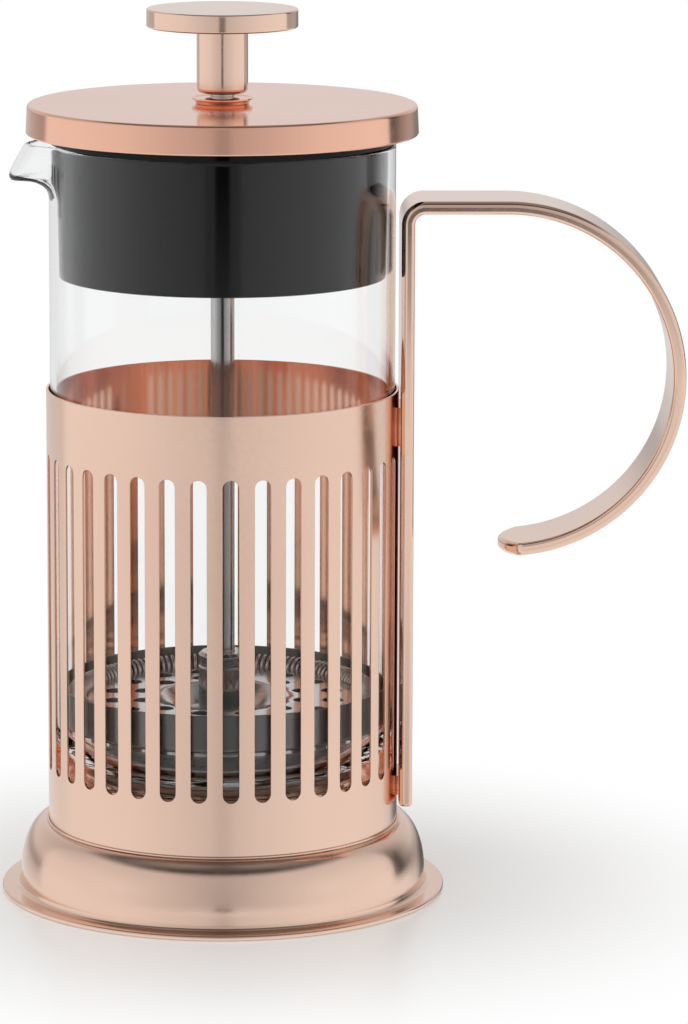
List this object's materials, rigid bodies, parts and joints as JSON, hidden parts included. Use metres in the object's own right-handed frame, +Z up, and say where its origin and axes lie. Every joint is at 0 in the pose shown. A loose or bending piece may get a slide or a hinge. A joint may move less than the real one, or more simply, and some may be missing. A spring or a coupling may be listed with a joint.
{
  "type": "french press",
  "caption": "Coffee press: glass beaker in a slotted copper-plated frame with a loop handle, black-skirted lid and a knob on a rod that drives a sprung mesh filter.",
  "frame": {"origin": "on the beaker's axis at the table, the middle of the foot flange's underside", "axes": "+Z up along the beaker's axis, +X towards the handle, -X towards the pouring spout"},
  "size_m": [0.1398, 0.0914, 0.1818],
  "materials": {
    "copper_plate": "mirror-polished rose copper plating on steel",
    "steel": "plain stainless steel",
    "mesh": "fine woven stainless screen",
    "glass": "clear borosilicate glass",
    "black_plastic": "glossy black moulded plastic",
    "silicone": "translucent clear silicone",
    "nylon": "matt black nylon"
  },
  "bodies": {
    "frame": {"base_foot": "copper_plate", "frame_sleeve": "copper_plate", "seat_plate": "copper_plate", "handle_strap": "copper_plate", "handle_welds": "copper_plate"},
    "cushion": {"glass_cushion": "silicone"},
    "beaker": {"glass_beaker": "glass"},
    "lid": {"lid_cap": "copper_plate", "lid_insert": "black_plastic", "lid_ferrule": "copper_plate", "ferrule_nut": "steel"},
    "bushing": {"rod_bushing": "nylon"},
    "plunger": {"plunger_knob": "copper_plate", "plunger_rod": "steel", "filter_hub": "steel", "hub_nut": "steel", "lower_plate": "steel", "filter_mesh": "mesh", "spring_plate": "steel", "rim_spring": "steel"}
  },
  "joints": [
    {"name": "beaker_turn", "type": "hinge", "parent": "frame", "child": "cushion", "pos_m": [0, 0, 0.0262], "axis": [0, 0, 1], "continuous": true},
    {"name": "beaker_lift", "type": "slide", "parent": "cushion", "child": "beaker", "axis": [0, 0, 1], "range_m": [0, 0.13]},
    {"name": "lid_lift", "type": "slide", "parent": "beaker", "child": "lid", "axis": [0, 0, 1], "range_m": [0, 0.135]},
    {"name": "plunger_turn", "type": "hinge", "parent": "lid", "child": "bushing", "pos_m": [0, 0, 0.156], "axis": [0, 0, 1], "continuous": true},
    {"name": "plunger_slide", "type": "slide", "parent": "bushing", "child": "plunger", "axis": [0, 0, 1], "range_m": [0, 0.084]}
  ]
}
